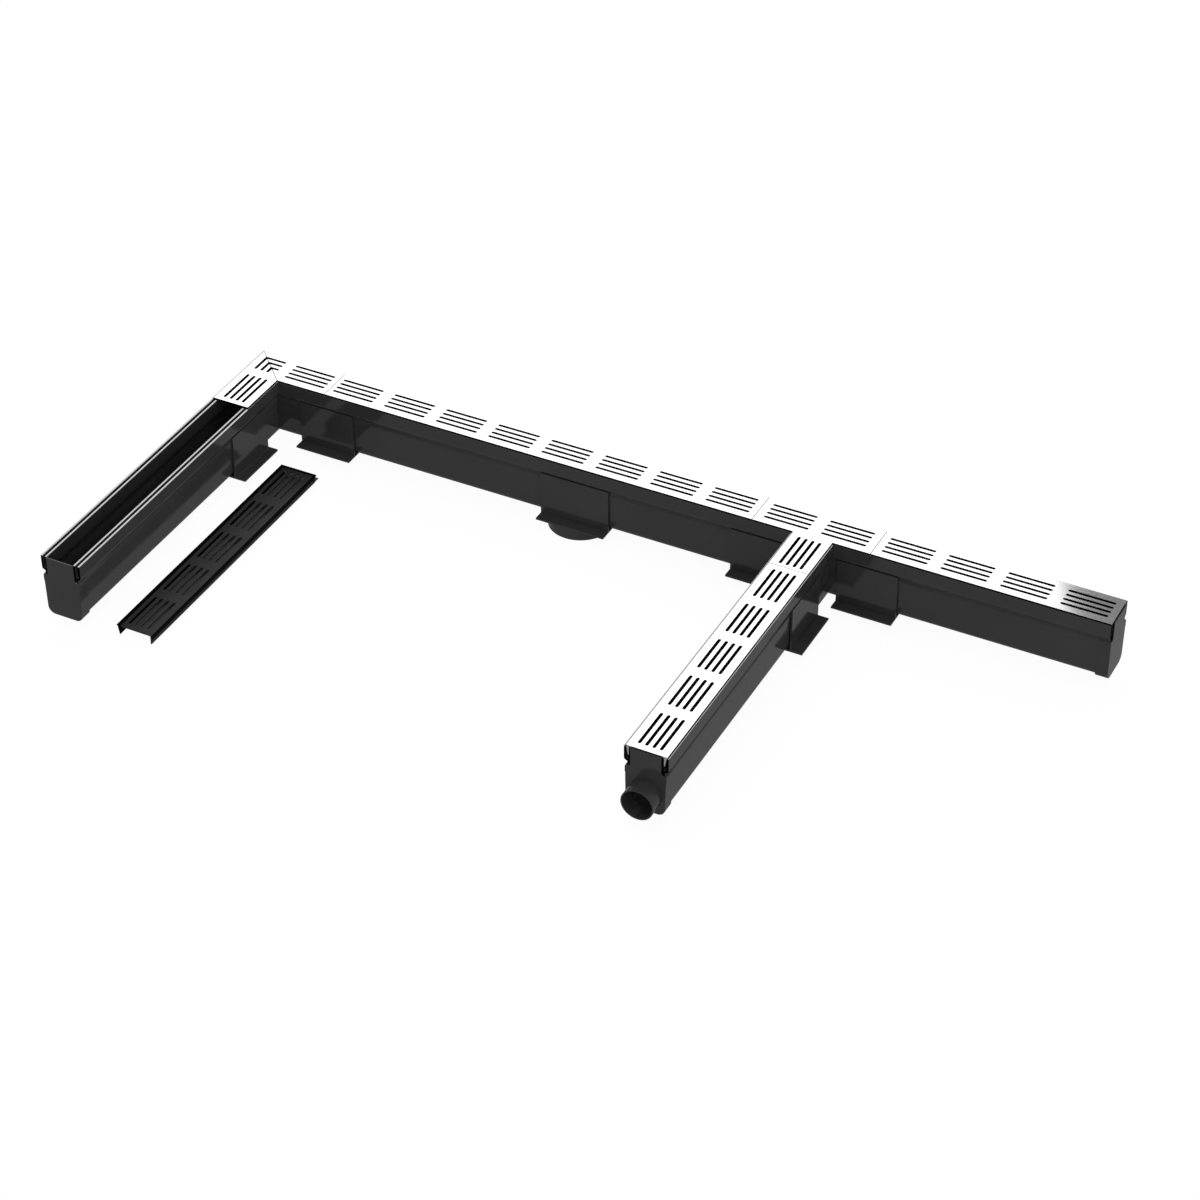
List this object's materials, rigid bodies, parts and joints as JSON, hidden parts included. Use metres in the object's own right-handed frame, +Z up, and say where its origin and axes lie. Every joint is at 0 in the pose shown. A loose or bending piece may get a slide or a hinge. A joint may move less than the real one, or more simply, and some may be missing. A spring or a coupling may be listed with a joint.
{
  "type": "channel drain",
  "caption": "Black linear drain layout with a corner, a tee, end caps, clip-on saddles, side and bottom pipe outlets and slotted steel gratings, one of them lifted out.",
  "frame": {"origin": "under the middle of the whole layout, on the ground that the bottom outlet stands on", "axes": "+X along the long run from the corner to the closed end, -Y towards the ends of the two legs, +Z up"},
  "size_m": [1.5878, 0.7128, 0.1327],
  "materials": {
    "channel_plastic": "smooth extruded and moulded black plastic",
    "cap_plastic": "smooth moulded black plastic",
    "saddle_plastic": "smooth moulded black plastic",
    "grating_steel": "pressed stainless sheet with a fine brushed grain"
  },
  "bodies": {
    "root": {"corner_channel": "channel_plastic", "left_leg_channel": "channel_plastic", "main_channel": "channel_plastic", "tee_channel": "channel_plastic", "tee_leg_channel": "channel_plastic", "right_arm_channel": "channel_plastic", "left_end_cap": "cap_plastic", "right_end_cap": "cap_plastic", "outlet_end_cap": "cap_plastic", "corner_leg_saddle": "saddle_plastic", "corner_main_saddle": "saddle_plastic", "main_tee_saddle": "saddle_plastic", "tee_leg_saddle": "saddle_plastic", "tee_arm_saddle": "saddle_plastic", "outlet_saddle": "saddle_plastic", "corner_leg_grate": "grating_steel", "corner_main_grate": "grating_steel", "main_grate": "grating_steel", "tee_grate": "grating_steel", "tee_leg_grate": "grating_steel", "right_arm_grate": "grating_steel", "left_leg_grate": "grating_steel"}
  },
  "joints": []
}
